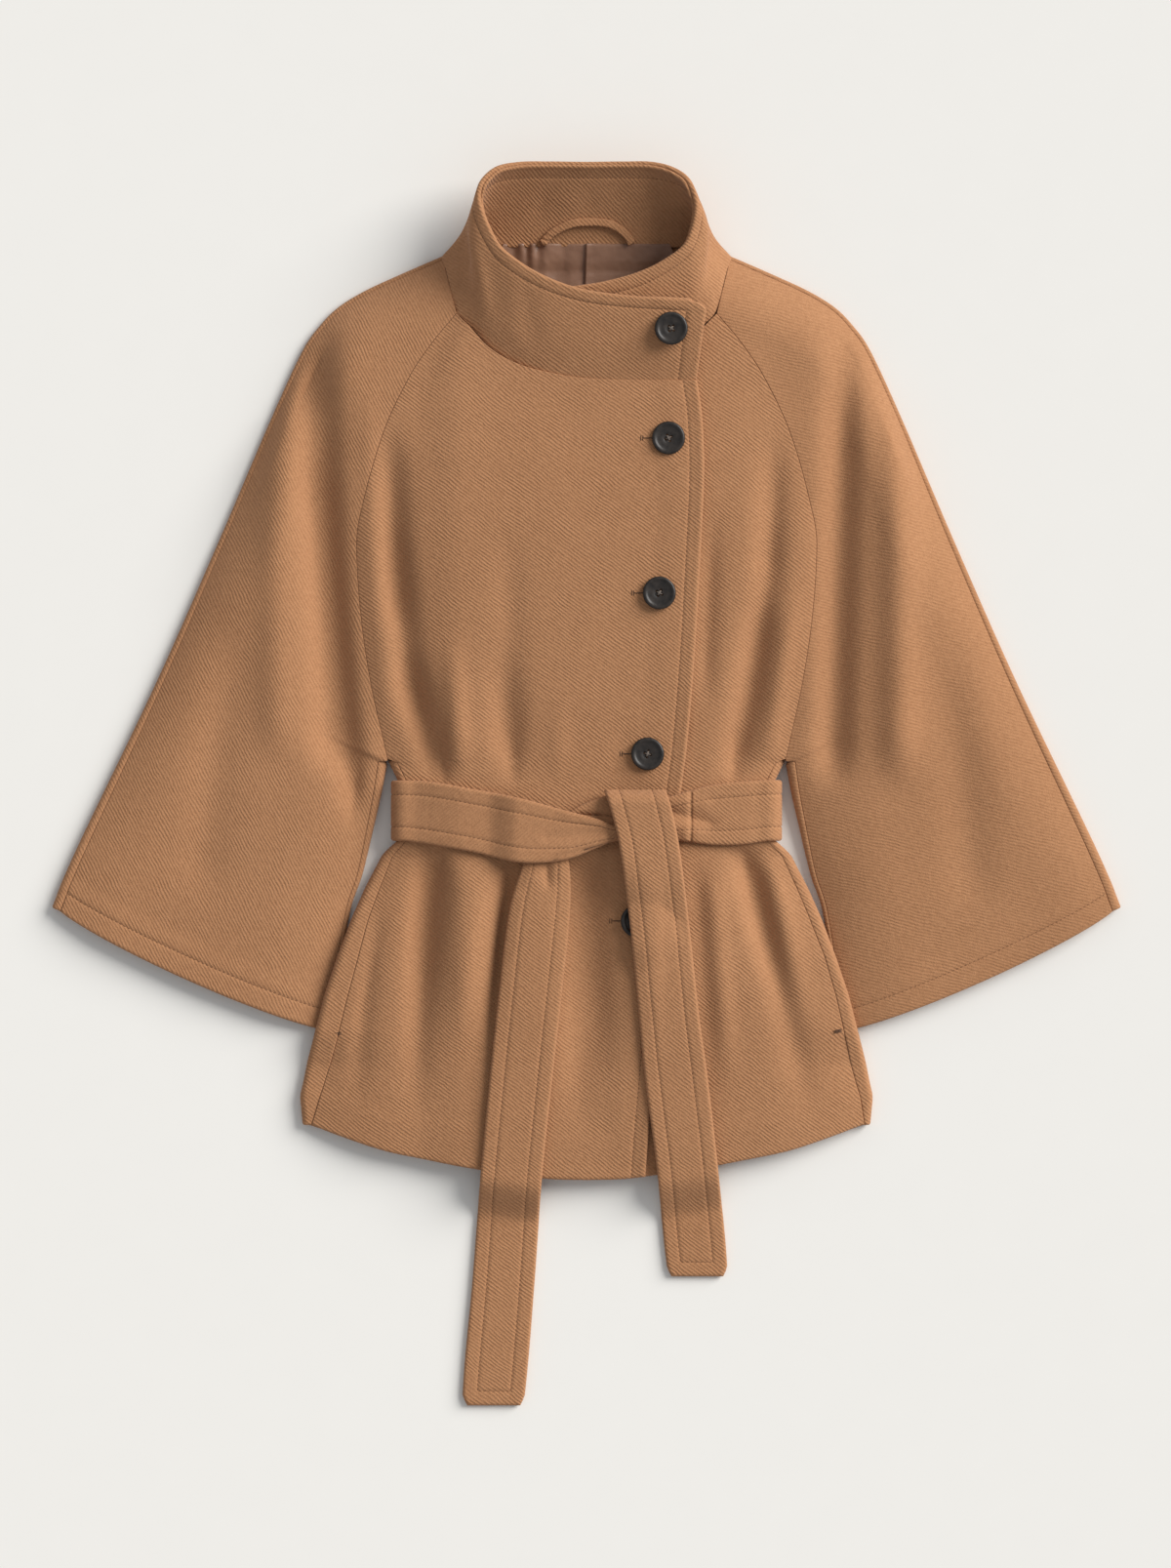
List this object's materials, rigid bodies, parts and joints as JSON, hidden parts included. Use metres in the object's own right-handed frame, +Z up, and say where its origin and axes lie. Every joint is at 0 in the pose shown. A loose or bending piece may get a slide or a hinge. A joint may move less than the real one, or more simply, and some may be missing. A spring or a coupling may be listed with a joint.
{
  "type": "cape coat",
  "caption": "Short belted wool cape coat with wide raglan sleeves and a stand collar, laid flat and buttoned across the front.",
  "frame": {"origin": "middle of the coat's outline as it lies, on the surface under it", "axes": "+X across the coat to the viewer's right, +Y from hem to collar, +Z up from the surface it lies on"},
  "size_m": [0.824, 0.9571, 0.0541],
  "materials": {
    "wool": "brushed camel wool twill",
    "lining": "brown satin lining",
    "horn": "polished dark horn look"
  },
  "bodies": {
    "root": {"back_body": "wool", "front_under": "wool", "front_over": "wool", "sleeve_left_front": "wool", "sleeve_left_back": "wool", "sleeve_right_front": "wool", "sleeve_right_back": "wool", "collar": "wool", "collar_facing": "wool", "belt_left_band": "wool", "belt_right_band": "wool", "belt_back": "wool", "belt_knot": "wool", "belt_left_tail": "wool", "belt_right_tail": "wool", "lining": "lining", "hanger_loop": "lining", "button_1": "horn", "button_2": "horn", "button_3": "horn", "button_4": "horn", "button_5": "horn"}
  },
  "joints": []
}
